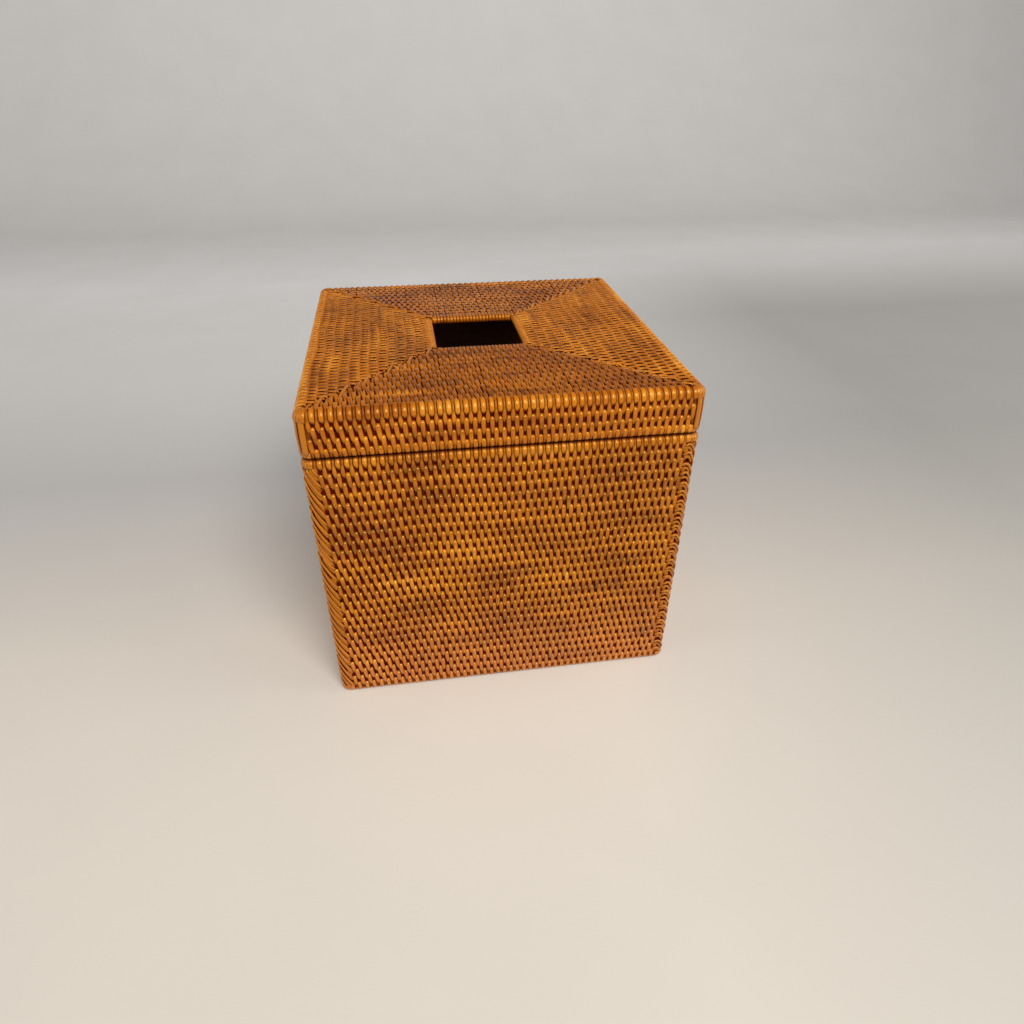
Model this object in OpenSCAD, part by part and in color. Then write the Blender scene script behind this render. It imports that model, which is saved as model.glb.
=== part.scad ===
// Square woven rattan cover for an upright tissue carton, with a lift-off lid.
// Each woven panel, binding and lashing is a closed solid of its true size.
// The origin is the middle of the footprint on the table, +Z is up and the front faces -Y.

/* [Cover] */
// Outside width and depth
cover_w = 155; // [135:1:180]
// Height with the lid on
cover_h = 142; // [125:1:165]
// Height of the lid, from the seam to its top
lid_h = 19.5; // [16:0.5:28]

/* [Rods and peel] */
// Diameter of the core rods and hoops of the basket
rod_d = 2.6; // [2:0.1:3.4]
// Diameter of the core rods of the lid's top
top_rod_d = 2.4; // [2:0.1:3]
// Thickness of the peel on each face of a rod
peel_t = 0.8; // [0.6:0.1:1]
// Thickness of the peel round a corner post, where it is thinnest
post_peel_t = 0.5; // [0.4:0.1:0.7]
// Depth of the grooves between the woven rows of a wall
row_relief = 1.2; // [0.6:0.1:1.5]
// How far a corner column stands in past the inner faces of the walls
corner_swell = 0.4; // [0.2:0.1:0.8]

/* [Edges] */
// Rounding of the outer bottom edge
base_round = 2.6; // [1.5:0.1:3]
// Rounding of both edges of the rim and of the lid's lower edge
seam_round = 1; // [0.5:0.1:1.2]
// Rounding of the lid's top edge
edge_round = 2; // [1:0.1:2.6]
// Height of the floor's underside above the table
foot_lift = 1; // [0.5:0.1:2]

/* [Collar] */
// Thickness of the inner collar
collar_t = 1.8; // [1.2:0.1:2.4]
// Reach of the collar below the seam
collar_below = 16; // [10:1:24]
// Reach of the collar above the seam, into the lid
collar_above = 8; // [5:0.5:10]
// Gap between the collar and the lid on each side
lid_fit = 0.4; // [0.3:0.05:0.8]
// Gap between the collar's rounded corners and the corner columns
column_gap = 0.6; // [0.4:0.1:1]

/* [Opening] */
// Clear width of the square opening
opening_w = 37.4; // [25:0.1:60]
// How far the opening lies left of the lid's middle
opening_shift = 3; // [0:0.5:8]
// Rounding inside the opening's corners
opening_r = 2; // [1:0.1:6]
// Rounding of the opening's upper inner edge
opening_round = 1.4; // [0.5:0.1:1.8]

/* [Mitre seams] */
// Width of the lashing along a seam
mitre_w = 2.4; // [1.6:0.1:4]
// Diameter of the cane under a seam
rib_d = 2.4; // [1.6:0.1:3]

/* [Hidden] */
$fn = 48;
SIDES = ["front", "right", "back", "left"];
CORNERS = ["front_right", "back_right", "back_left", "front_left"];

// Overrun of every cut
cut_over = 1;
// Gap between a hoop, post or rib and the peel round it
wrap_gap = 0.05;
// A quarter turn, from one side or corner to the next
quarter = 90;
// Woven rows of a wall, one to each level rod
wall_rows = 26;
// Outline of a row, from its lower groove up, as shares of the rows' pitch and of their relief
row_shares = [[0, 1], [0.12, 0.35], [0.32, 0], [0.68, 0], [0.88, 0.35]];

// Thickness of a basket wall, of the lid's skirt and of the lid's top
wall_t = rod_d + 2 * peel_t;
skirt_t = wall_t - lid_fit;
top_t = top_rod_d + 2 * peel_t;
// The skirt's hoop is thinner than the basket's by what the skirt is
skirt_hoop_d = skirt_t - 2 * peel_t;

// How far the corner of a square stands out past a rounding of unit radius, along the diagonal
corner_share = sqrt(2) - 1;

cover_half = cover_w / 2;
corner_r = wall_t + corner_swell;
// Half the distance between the centres of the rounded corners
corner_half = cover_half - corner_r;
wall_inner_half = cover_half - wall_t;
skirt_inner_half = cover_half - skirt_t;
// The collar's corners clear the columns, which stand in past the walls
collar_r = (corner_swell * sqrt(2) + column_gap) / corner_share;

// Levels, from the table up
base_top = peel_t + rod_d;
seam_z = cover_h - lid_h;
rim_bottom = seam_z - rod_d - peel_t;
skirt_bottom = seam_z + skirt_hoop_d + peel_t;
top_bottom = cover_h - top_t;
row_pitch = (rim_bottom - base_top) / wall_rows;

// The largest post that fits a corner column with its peel all round
column_bore_at = corner_r * corner_share;
column_bore_r = column_bore_at - post_peel_t;

// Opening ring: peel on the inside, then the hoop, open towards the panels
opening_half = opening_w / 2;
ring_w = peel_t + top_rod_d;
ring_half = opening_half + ring_w;
ring_r = opening_r + ring_w;
// From the opening's corner to the middle of its ring, along the seam
ring_middle = ring_w / 2 * sqrt(2);
// A length that passes the cover's corners from anywhere inside, before it is trimmed
mitre_reach = cover_w;

// Corners of the opening and of the cover, in the order of CORNERS
corner_signs = [[1, -1], [1, 1], [-1, 1], [-1, -1]];

// A square with rounded corners, from its half width
module rounded_square(half, r) {
  square([2 * half, 2 * (half - r)], center = true);
  square([2 * (half - r), 2 * half], center = true);
  for (sign = corner_signs) translate(sign * (half - r)) circle(r);
}

// What a rounding of radius r takes off the upper right corner of a section, with the corner at the origin
module rounding(r) {
  difference() {
    translate([-r, -r]) square(r + cut_over);
    translate([-r, -r]) circle(r);
  }
}

// Sweeps a section round a square path; the section's x is the distance out from the corners' centres
module band(half) {
  for (turn = [0 : 3]) rotate(turn * quarter) {
    translate([half, half]) rotate_extrude(angle = quarter) children();
    translate([half, half]) rotate([quarter, 0, 0]) linear_extrude(2 * half) children();
  }
}

// Channel for a hoop that opens upwards, with the hoop's centre at the origin
module channel(hoop_d) {
  bore_r = hoop_d / 2 + wrap_gap;
  circle(bore_r);
  translate([-bore_r, 0]) square([2 * bore_r, hoop_d]);
}

// A woven side, drawn as the front one and turned about the middle, from its section.
// The section's x is the depth below the outer face and its y is the height above the given level.
module side_panel(side, low) {
  rotate(side * quarter) translate([-corner_half, -cover_half, low])
    rotate([quarter, 0, quarter]) linear_extrude(2 * corner_half) children();
}

// A wall is flat inside, and outside each woven row stands out between two grooves
module wall_section() {
  high = wall_rows * row_pitch;
  rows = [
    for (row = [0 : wall_rows - 1])
      for (share = row_shares) [share.y * row_relief, (row + share.x) * row_pitch]
  ];
  polygon(concat(rows, [[row_relief, high], [wall_t, high], [wall_t, 0]]));
}

module wall(side) {
  color("#b86a1e") side_panel(side, base_top) wall_section();
}

module floor_panel() {
  color("#a8652a") translate([0, 0, foot_lift])
    linear_extrude(wall_t) rounded_square(wall_inner_half, corner_r);
}

// A cane ring in the middle of a binding of the given thickness
module hoop(thick, hoop_d, z) {
  color("#8a5524") band(corner_half)
    translate([corner_r - thick / 2, z]) circle(hoop_d / 2);
}

module base_hoop() {
  hoop(wall_t, rod_d, peel_t + rod_d / 2);
}

module base_binding() {
  color("#b5713a") band(corner_half) difference() {
    translate([corner_r - wall_t, 0]) square([wall_t, base_top]);
    translate([corner_r, 0]) mirror([0, 1]) rounding(base_round);
    translate([corner_r - wall_t / 2, peel_t + rod_d / 2]) channel(rod_d);
  }
}

// The quarter column that fills an outer corner
module corner_column(corner, low, high) {
  rotate(corner * quarter - quarter) translate([corner_half, corner_half, low])
    linear_extrude(high - low) intersection() {
      circle(corner_r);
      square(corner_r);
    }
}

module corner_bore(corner, low, high, r) {
  rotate(corner * quarter - quarter)
    translate([corner_half + column_bore_at, corner_half + column_bore_at, low])
      cylinder(h = high - low, r = r);
}

module corner_post(corner) {
  color("#8a5524") corner_bore(corner, base_top, rim_bottom, column_bore_r - wrap_gap);
}

module corner_lashing(corner) {
  color("#c8843c") difference() {
    corner_column(corner, base_top, rim_bottom);
    corner_bore(corner, base_top - cut_over, rim_bottom + cut_over, column_bore_r);
  }
}

module rim_hoop() {
  hoop(wall_t, rod_d, rim_bottom + rod_d / 2);
}

module rim_binding() {
  color("#d08a35") translate([0, 0, rim_bottom]) band(corner_half) difference() {
    translate([corner_r - wall_t, 0]) square([wall_t, seam_z - rim_bottom]);
    translate([corner_r, seam_z - rim_bottom]) rounding(seam_round);
    translate([corner_r - wall_t, seam_z - rim_bottom]) mirror([1, 0]) rounding(seam_round);
    translate([corner_r - wall_t / 2, rod_d / 2]) mirror([0, 1]) channel(rod_d);
  }
}

module collar() {
  color("#9a5f28") translate([0, 0, seam_z - collar_below])
    linear_extrude(collar_below + collar_above) difference() {
      rounded_square(wall_inner_half, collar_r);
      rounded_square(wall_inner_half - collar_t, collar_r - collar_t);
    }
}

// The rounded outline of the ring round the opening
module ring_outline() {
  translate([-opening_shift, 0]) rounded_square(ring_half, ring_r);
}

// Runs from the opening's corner to the cover's, drawn along +X from the start
module along_mitre(corner) {
  sign = corner_signs[corner];
  start = [sign.x * opening_half - opening_shift, sign.y * opening_half];
  run = sign * cover_half - start;
  translate(start) rotate(atan2(run.y, run.x)) children();
}

// The outline of a seam's lashing, before it is trimmed
module mitre_outline(corner) {
  along_mitre(corner) translate([0, -mitre_w / 2]) square([mitre_reach, mitre_w]);
}

// A mitred side of the lid's top, between two seams
module top_panel(side) {
  before = (side + 3) % 4;
  shift = [-opening_shift, 0];
  color("#b06a24") translate([0, 0, top_bottom]) linear_extrude(top_t) difference() {
    polygon([
      corner_signs[before] * skirt_inner_half,
      corner_signs[side] * skirt_inner_half,
      corner_signs[side] * opening_half + shift,
      corner_signs[before] * opening_half + shift
    ]);
    ring_outline();
    mitre_outline(before);
    mitre_outline(side);
  }
}

module mitre_lashing(corner) {
  color("#cf8f48") translate([0, 0, top_bottom]) linear_extrude(top_t) difference() {
    intersection() {
      mitre_outline(corner);
      rounded_square(skirt_inner_half, corner_r - skirt_t);
    }
    ring_outline();
  }
}

// A cane under the seam, from the middle of the opening's ring to the corner column
module mitre_rib(corner) {
  sign = corner_signs[corner];
  start = [sign.x * opening_half - opening_shift, sign.y * opening_half];
  end = sign * (corner_half - rib_d / 2);
  color("#8a5524") along_mitre(corner)
    translate([ring_middle, 0, top_bottom - wrap_gap - rib_d / 2]) rotate([0, quarter, 0])
      cylinder(h = norm(end - start) - ring_middle, r = rib_d / 2);
}

module skirt(side) {
  color("#b86a1e") side_panel(side, skirt_bottom) square([skirt_t, top_bottom - skirt_bottom]);
}

module edge_hoop() {
  hoop(skirt_t, skirt_hoop_d, top_bottom + skirt_hoop_d / 2);
}

module edge_binding() {
  color("#c98235") translate([0, 0, top_bottom]) band(corner_half) difference() {
    translate([corner_r - skirt_t, 0]) square([skirt_t, top_t]);
    translate([corner_r, top_t]) rounding(edge_round);
    translate([corner_r - skirt_t / 2, skirt_hoop_d / 2]) mirror([0, 1]) channel(skirt_hoop_d);
  }
}

module skirt_hoop() {
  hoop(skirt_t, skirt_hoop_d, skirt_bottom - skirt_hoop_d / 2);
}

module skirt_binding() {
  color("#c98235") translate([0, 0, seam_z]) band(corner_half) difference() {
    translate([corner_r - skirt_t, 0]) square([skirt_t, skirt_bottom - seam_z]);
    translate([corner_r, 0]) mirror([0, 1]) rounding(seam_round);
    translate([corner_r - skirt_t, 0]) mirror([0, 1]) mirror([1, 0]) rounding(seam_round);
    translate([corner_r - skirt_t / 2, peel_t + skirt_hoop_d / 2]) channel(skirt_hoop_d);
  }
}

module skirt_lashing(corner) {
  color("#c8843c") corner_column(corner, skirt_bottom, top_bottom);
}

// Sweeps a section round the opening; the section's x is the distance out from the corners' centres
module opening_band() {
  translate([-opening_shift, 0, top_bottom]) band(opening_half - opening_r) children();
}

module opening_hoop() {
  color("#8a5524") opening_band()
    translate([opening_r + peel_t + top_rod_d / 2, top_t / 2]) circle(top_rod_d / 2);
}

module opening_binding() {
  color("#d89a50") opening_band() difference() {
    translate([opening_r, 0]) square([ring_w, top_t]);
    translate([opening_r, top_t]) mirror([1, 0]) rounding(opening_round);
    translate([opening_r + peel_t + top_rod_d / 2, top_t / 2]) rotate(-quarter)
      channel(top_rod_d);
  }
}

for (side = [0 : 3]) wall(side);
floor_panel();
base_hoop();
base_binding();
for (corner = [0 : 3]) corner_post(corner);
for (corner = [0 : 3]) corner_lashing(corner);
rim_hoop();
rim_binding();
collar();
for (side = [0 : 3]) top_panel(side);
for (side = [0 : 3]) skirt(side);
edge_hoop();
edge_binding();
skirt_hoop();
skirt_binding();
for (corner = [0 : 3])
  skirt_lashing(corner);
opening_hoop();
opening_binding();
for (corner = [0 : 3]) mitre_rib(corner);
for (corner = [0 : 3]) mitre_lashing(corner);
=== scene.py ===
"""A woven rattan tissue box cover: its rods, strands, wraps and lashings, laid round the fixed frame."""

import math
from collections import namedtuple

import bpy
import numpy as np
from mathutils import Matrix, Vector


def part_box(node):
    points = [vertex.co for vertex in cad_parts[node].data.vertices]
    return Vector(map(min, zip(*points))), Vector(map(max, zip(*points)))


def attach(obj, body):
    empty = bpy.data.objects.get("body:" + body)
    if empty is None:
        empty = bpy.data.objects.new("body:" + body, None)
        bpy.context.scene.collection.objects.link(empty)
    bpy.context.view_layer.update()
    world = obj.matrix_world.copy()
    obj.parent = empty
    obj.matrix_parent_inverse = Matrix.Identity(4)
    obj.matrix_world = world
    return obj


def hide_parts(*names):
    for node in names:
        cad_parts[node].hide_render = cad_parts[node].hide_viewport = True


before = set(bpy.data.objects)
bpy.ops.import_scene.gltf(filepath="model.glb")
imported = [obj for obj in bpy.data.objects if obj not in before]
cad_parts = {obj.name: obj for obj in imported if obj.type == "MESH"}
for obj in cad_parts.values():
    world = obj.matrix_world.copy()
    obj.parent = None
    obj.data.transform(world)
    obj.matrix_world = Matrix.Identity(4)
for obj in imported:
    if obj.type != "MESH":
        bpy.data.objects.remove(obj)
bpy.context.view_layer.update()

# Camera, where the photograph was taken from
CAMERA_PLACE = (-0.03578, -0.30886, 0.25008)
CAMERA_YAW = 0.16003
CAMERA_PITCH = 0.59062
CAMERA_ROLL = 0.00682
CAMERA_LENS = 24.606
CAMERA_SENSOR = 36.0

camera_data = bpy.data.cameras.new("camera")
camera_data.lens = CAMERA_LENS
camera_data.sensor_width = CAMERA_SENSOR
camera = bpy.data.objects.new("camera", camera_data)
turned = Matrix.Rotation(-CAMERA_YAW, 4, "Z") @ Matrix.Rotation(math.pi / 2 - CAMERA_PITCH, 4, "X")
camera.matrix_world = Matrix.Translation(CAMERA_PLACE) @ turned @ Matrix.Rotation(CAMERA_ROLL, 4, "Z")
bpy.context.scene.collection.objects.link(camera)
bpy.context.scene.camera = camera

# Sizes below are in millimetres, and meshes are written in metres
MM = 0.001
QUARTER_TURN = math.pi / 2
SIDES = ("front", "right", "back", "left")
CORNERS = ("front_right", "back_right", "back_left", "front_left")
UPWARD = np.array([0.0, 0.0, 1.0])


def node_box(node):
    """Lowest and highest corner of a node of the frame."""
    low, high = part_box(node)
    return np.array(low) / MM, np.array(high) / MM


Hoop = namedtuple("Hoop", "reach height radius")


def hoop_of(node):
    """Centre line's distance from its middle, height and radius of a level ring of cane."""
    low, high = node_box(node)
    radius = (high[2] - low[2]) / 2
    return Hoop((high[0] - low[0]) / 2 - radius, (high[2] + low[2]) / 2, radius)


# Frame
COVER_HALF = node_box("edge_binding")[1][0]
CORNER_HALF = node_box("front_wall")[1][0]
WALL_LOW, WALL_HIGH = node_box("front_wall")
WALL_THICK = COVER_HALF + WALL_HIGH[1]
SKIRT_HIGH = node_box("front_skirt")[1]
SKIRT_THICK = COVER_HALF + SKIRT_HIGH[1]
TOP_LOW, TOP_HIGH = node_box("front_top")
TOP_THICK = TOP_HIGH[2] - TOP_LOW[2]
LID_TOP = TOP_HIGH[2]
FLOOR_LOW, FLOOR_HIGH = node_box("floor_panel")
OPENING_LOW, OPENING_HIGH = node_box("opening_binding")
RIM = hoop_of("rim_hoop")
BASE = hoop_of("base_hoop")
EDGE = hoop_of("edge_hoop")
SKIRT_HOOP = hoop_of("skirt_hoop")
RING = hoop_of("opening_hoop")
RING_CENTRE = (OPENING_LOW + OPENING_HIGH) / 2
SEAM = node_box("rim_binding")[1][2]
OPENING_HALF = RING.reach - (OPENING_HIGH[2] - RING.height)

# Weave
STRANDS = 94
BODY_ROWS = 26
TOP_ROWS = 13
SKIRT_ROW_DROPS = (5.6, 10.3, 14.9)
# Rows of the lid: those of its top, its edge and those of its skirt
LID_ROWS = TOP_ROWS + 1 + len(SKIRT_ROW_DROPS)
FIRST_TOP_ROW = 5.3
LAST_TOP_ROW = 5.2
# Thickness of the peel, and the widths of a strand: tight round a hoop, as a bar over it, sunk over it, at
# its head, at its tail and elsewhere
PEEL = 0.72
TIGHT = 1.62
BAR = 2.05
SUNK = 1.10
SUNK_FRONT = 0.87
# Painted shade on a strand that lies sunk between the bars over a hoop
SUNK_PAINTED_SHADE = 0.55
HEAD_WIDTH = 2.05
TAIL_WIDTH = 1.30
WIDE = 1.84
DOME = 0.55
ROD_RADIUS = 1.15
ROD_RISE = 1.85
LID_ROD_RADIUS = 1.05
LID_ROD_RISE = 1.95
TOP_ROD_RISE = 1.75
WALL_MID = COVER_HALF - WALL_THICK / 2
WALL_SWING = WALL_THICK / 2 - DOME * PEEL
SKIRT_MID = COVER_HALF - SKIRT_THICK / 2
SKIRT_SWING = SKIRT_THICK / 2 - DOME * PEEL
TOP_MID = LID_TOP - TOP_THICK / 2
TOP_SWING = TOP_THICK / 2 - DOME * PEEL
HOOP_GAP = 0.18
EDGE_ROUND = 3.0
RIM_ROUND = 1.9
RIM_DROP = 0.25


def bend(top, round_radius):
    """The circle that strands follow over an edge whose height and roundness are given, written as a hoop."""
    inset = DOME * PEEL + round_radius
    return Hoop(COVER_HALF - inset, top - inset, round_radius - HOOP_GAP)


EDGE_BEND = bend(LID_TOP, EDGE_ROUND)
RIM_BEND = bend(SEAM - RIM_DROP, RIM_ROUND)
BODY_PITCH = (WALL_HIGH[2] - WALL_LOW[2]) / BODY_ROWS
BODY_HEIGHTS = WALL_HIGH[2] - BODY_PITCH * (np.arange(BODY_ROWS) + 0.5)
SKIRT_HEIGHTS = [LID_TOP - drop for drop in SKIRT_ROW_DROPS]


class Outline:
    """A square with round corners, seen from above: rods, hoops and rows follow it.

    Places along it are measured from the left end of the front side, to the right, and round each corner
    on the arc of its radius.
    """

    def __init__(self, centre, flat_half, corner):
        self.centre = np.array(centre[:2], float)
        self.half = flat_half
        self.side = 2 * flat_half
        self.arc = corner * QUARTER_TURN
        self.quarter = self.side + self.arc
        self.length = 4 * self.quarter

    def at(self, along, reach):
        """Places and outward directions, reach from the centre."""
        side, local = np.divmod(np.asarray(along, float) % self.length, self.quarter)
        turn = np.clip(local - self.side, 0, None) / self.arc * QUARTER_TURN
        right = np.minimum(local, self.side) - self.half + (reach - self.half) * np.sin(turn)
        out = self.half + (reach - self.half) * np.cos(turn)
        facing = side * QUARTER_TURN
        zero = np.zeros_like(turn)
        place = np.stack([
            self.centre[0] + right * np.cos(facing) + out * np.sin(facing),
            self.centre[1] + right * np.sin(facing) - out * np.cos(facing),
            zero,
        ], -1)
        outward = np.stack([np.sin(facing + turn), -np.cos(facing + turn), zero], -1)
        return place, outward


COVER = Outline((0, 0), CORNER_HALF, COVER_HALF - CORNER_HALF)
OPENING_CORNER = 2.0
OPENING = Outline(RING_CENTRE, OPENING_HALF - OPENING_CORNER, RING.reach - OPENING_HALF + OPENING_CORNER)


class Drift:
    """Smooth random change round the cover, one curve for each row of the weave."""

    def __init__(self, rows, size, slowest, fastest, kinship, seed):
        draw = np.random.default_rng(seed)
        self.cycles = np.arange(slowest, fastest + 1)
        weights = draw.normal(size=(rows + 1, len(self.cycles), 2))
        for row in range(1, rows + 1):
            weights[row] = kinship * weights[row - 1] + math.sqrt(1 - kinship**2) * weights[row]
        self.weights = weights * size / math.sqrt(len(self.cycles))
        self.last = rows - 1

    def at(self, row, along):
        """The change at each row, which may lie between two, and each place along the cover."""
        row = np.clip(row, 0, self.last)
        low = np.floor(row).astype(int)
        share = (row - low)[..., None]
        phase = 2 * math.pi * np.asarray(along)[..., None] / COVER.length * self.cycles
        weights = self.weights[low] * (1 - share[..., None]) + self.weights[low + 1] * share[..., None]
        return (weights[..., 0] * np.cos(phase) + weights[..., 1] * np.sin(phase)).sum(-1)


def unit(vectors):
    return vectors / np.linalg.norm(vectors, axis=-1, keepdims=True)


def smooth(low, high, value):
    share = np.clip((value - low) / (high - low), 0, 1)
    return share * share * (3 - 2 * share)


# Outline of a strip of peel as shares of its half width and thickness, and of a round rod of its radius
PEEL_SECTION = np.array([(-1, 0), (-0.62, 0.42), (0, DOME), (0.62, 0.42), (1, 0), (0, -0.45)])
ROD_SIDES = 8
ROD_SECTION = np.array([
    (-math.cos(2 * math.pi * i / ROD_SIDES), math.sin(2 * math.pi * i / ROD_SIDES)) for i in range(ROD_SIDES)
])
MAP_COLUMN = 0.96


class Batch:
    """Strips of peel or rods, each swept along its own line, gathered into one mesh."""

    def __init__(self, section=PEEL_SECTION):
        self.section = section
        self.points = []
        self.grain = []
        self.tint = []
        self.counts = []
        self.closed = []

    def sweep(self, path, normal, half_width, thickness, tone, painted_shade, inside=0, closed=False):
        """Adds one strip along path. Tone, painted shade and inside colour it, from 0 to 1: painted shade
        darkens it where shade falls, and inside turns that to the darker painted shade of inner faces. Closed
        joins its ends.
        """
        if closed:
            tangent = unit(np.roll(path, -1, 0) - np.roll(path, 1, 0))
        else:
            tangent = unit(np.gradient(path, axis=0))
        side = unit(np.cross(normal, tangent))
        face = np.cross(tangent, side)
        count = len(path)
        half_width = np.broadcast_to(half_width, count)
        thickness = np.broadcast_to(thickness, count)
        across, lift = self.section.T
        points = (
            path[:, None]
            + side[:, None] * (across * half_width[:, None])[..., None]
            + face[:, None] * (lift * thickness[:, None])[..., None]
        )
        steps = np.linalg.norm(np.diff(path, axis=0), axis=1)
        along = np.concatenate([[0], np.cumsum(steps)])
        grain = np.zeros_like(points)
        grain[..., 0] = along[:, None]
        grain[..., 1] = across * half_width[:, None]
        grain[..., 2] = len(self.counts) * 7.3
        tint = np.zeros(points.shape[:2] + (4,))
        tint[..., 0] = np.broadcast_to(tone, count)[:, None]
        tint[..., 1] = np.broadcast_to(painted_shade, count)[:, None]
        tint[..., 2] = np.abs(across)
        tint[..., 3] = 1 - np.broadcast_to(inside, count)[:, None]
        self.points.append(points)
        self.grain.append(grain)
        self.tint.append(tint)
        self.counts.append(count)
        self.closed.append(closed)

    def faces(self):
        """Corner lists of the side faces and end faces, and the side faces' places on the bake's map."""
        around = len(self.section)
        ring = np.arange(around)
        after = (ring + 1) % around
        sides = []
        caps = [np.zeros((0, around), int)]
        maps = []
        columns = max(1, round(math.sqrt(len(self.counts)) / 3))
        rows = math.ceil(len(self.counts) / columns)
        start = 0
        for index, (count, closed) in enumerate(zip(self.counts, self.closed)):
            rings = np.arange(count if closed else count - 1)[:, None]
            here = start + rings * around
            there = start + (rings + 1) % count * around
            corners = np.stack([here + ring, there + ring, there + after, here + after], -1)
            sides.append(corners.reshape(-1, 4))
            column, row = divmod(index, rows)
            low_u = column / columns
            step_u = MAP_COLUMN / columns / len(rings)
            u = low_u + rings * step_u + 0 * ring
            v = (row + 0.05 + 0.9 * ring / around) / rows + 0 * rings
            next_v = v + 0.9 / around / rows
            maps.append(np.stack([u, v, u + step_u, v, u + step_u, next_v, u, next_v], -1).reshape(-1, 8))
            if not closed:
                caps.append(np.stack([start + ring, start + (count - 1) * around + ring[::-1]]))
            start += count * around
        return np.concatenate(sides), np.concatenate(caps), np.concatenate(maps)

    def build(self, name, body, material, nodes=()):
        """Makes the mesh object, and says what it rides on and replaces."""
        points = np.concatenate([p.reshape(-1, 3) for p in self.points]) * MM
        sides, caps, maps = self.faces()
        corners = np.concatenate([sides.ravel(), caps.ravel()])
        sizes = np.repeat([4, len(self.section)], [len(sides), len(caps)])
        flat_map = np.concatenate([maps.ravel(), np.repeat(maps[:1, :2], caps.size, 0).ravel()])
        mesh = bpy.data.meshes.new(name)
        mesh.vertices.add(len(points))
        mesh.vertices.foreach_set("co", points.astype(np.float32).ravel())
        mesh.loops.add(len(corners))
        mesh.loops.foreach_set("vertex_index", corners.astype(np.int32))
        mesh.polygons.add(len(sizes))
        starts = np.concatenate([[0], np.cumsum(sizes)[:-1]])
        mesh.polygons.foreach_set("loop_start", starts.astype(np.int32))
        mesh.update(calc_edges=True)
        layer = mesh.uv_layers.new(name="OFBake")
        layer.uv.foreach_set("vector", flat_map.astype(np.float32))
        for label, kind, field, values in (
            ("grain", "FLOAT_VECTOR", "vector", self.grain),
            ("tint", "FLOAT_COLOR", "color", self.tint),
        ):
            flat = np.concatenate([value.reshape(-1) for value in values]).astype(np.float32)
            mesh.attributes.new(label, kind, "POINT").data.foreach_set(field, flat)
        mesh.polygons.foreach_set("use_smooth", np.ones(len(sizes), bool))
        mesh.materials.append(material)
        piece = bpy.data.objects.new(name, mesh)
        bpy.context.scene.collection.objects.link(piece)
        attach(piece, body)
        if nodes:
            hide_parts(*nodes)


class Paint:
    """A node material in the making."""

    def __init__(self, name):
        self.material = bpy.data.materials.new(name)
        self.material.use_nodes = True
        self.tree = self.material.node_tree
        self.shader = self.tree.nodes["Principled BSDF"]

    def feed(self, socket, value):
        if isinstance(value, bpy.types.NodeSocket):
            self.tree.links.new(value, socket)
        else:
            socket.default_value = value

    def set(self, name, value):
        self.feed(self.shader.inputs[name], value)

    def put(self, kind, inputs, **settings):
        made = self.tree.nodes.new("ShaderNode" + kind)
        for key, value in settings.items():
            setattr(made, key, value)
        for socket, value in inputs.items():
            self.feed(made.inputs[socket], value)
        return made

    def attribute(self, name):
        return self.put("Attribute", {}, attribute_name=name)

    def object_place(self):
        return self.put("TexCoord", {}).outputs["Object"]

    def stretch(self, vector, scale):
        return self.put("Mapping", {"Vector": vector, "Scale": scale}).outputs["Vector"]

    def noise(self, vector, scale, detail=2.0, roughness=0.5):
        inputs = {"Vector": vector, "Scale": scale, "Detail": detail, "Roughness": roughness}
        return self.put("TexNoise", inputs).outputs["Fac"]

    def math(self, operation, first, second=0.0, third=0.0, clamp=False):
        inputs = {0: first, 1: second, 2: third}
        return self.put("Math", inputs, operation=operation, use_clamp=clamp).outputs[0]

    def spread(self, value, low, high, to_low=0.0, to_high=1.0):
        """Value mapped from one range to another, and held there."""
        inputs = {"Value": value, "From Min": low, "From Max": high, "To Min": to_low, "To Max": to_high}
        return self.put("MapRange", inputs).outputs["Result"]

    def mix(self, share, first, second):
        made = self.put("Mix", {"Factor": share}, data_type="RGBA")
        colours = [socket for socket in made.inputs if socket.type == "RGBA"]
        self.feed(colours[0], first)
        self.feed(colours[1], second)
        return [socket for socket in made.outputs if socket.type == "RGBA"][0]

    def ramp(self, value, stops):
        made = self.put("ValToRGB", {"Fac": value})
        ramp = made.color_ramp
        while len(ramp.elements) < len(stops):
            ramp.elements.new(0.5)
        for element, (place, colour) in zip(ramp.elements, stops):
            element.position = place
            element.color = (*colour, 1)
        return made.outputs["Color"]

    def bump(self, height, strength, distance):
        inputs = {"Height": height, "Strength": strength, "Distance": distance}
        self.set("Normal", self.put("Bump", inputs).outputs["Normal"])


def finish_paint(paint, colour, roughness, coat, coat_roughness):
    paint.set("Base Color", colour)
    paint.set("Roughness", roughness)
    paint.set("Coat Weight", coat)
    paint.set("Coat Roughness", coat_roughness)
    return paint.material


# Colours of the lacquered peel, dark to pale, and of the painted shade put in its crevices and on its inner
# faces
PEEL_STOPS = (
    (0.0, (0.085, 0.014, 0.0005)),
    (0.30, (0.22, 0.050, 0.0010)),
    (0.55, (0.385, 0.105, 0.0020)),
    (0.80, (0.55, 0.178, 0.0050)),
    (1.0, (0.72, 0.315, 0.0400)),
)
WARM = (1.0, 0.91, 0.7)
# Painted shade: the dark red of crevices where strands go in behind rods and under other strips
PAINTED_SHADE_COLOUR = (0.110, 0.0030, 0.0003, 1)
# Painted shade on faces turned inwards, near black like the shaded inside of the cover
INSIDE_PAINTED_SHADE = (0.016, 0.0040, 0.0012, 1)
ROSE = (0.46, 0.140, 0.012, 1)
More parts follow.
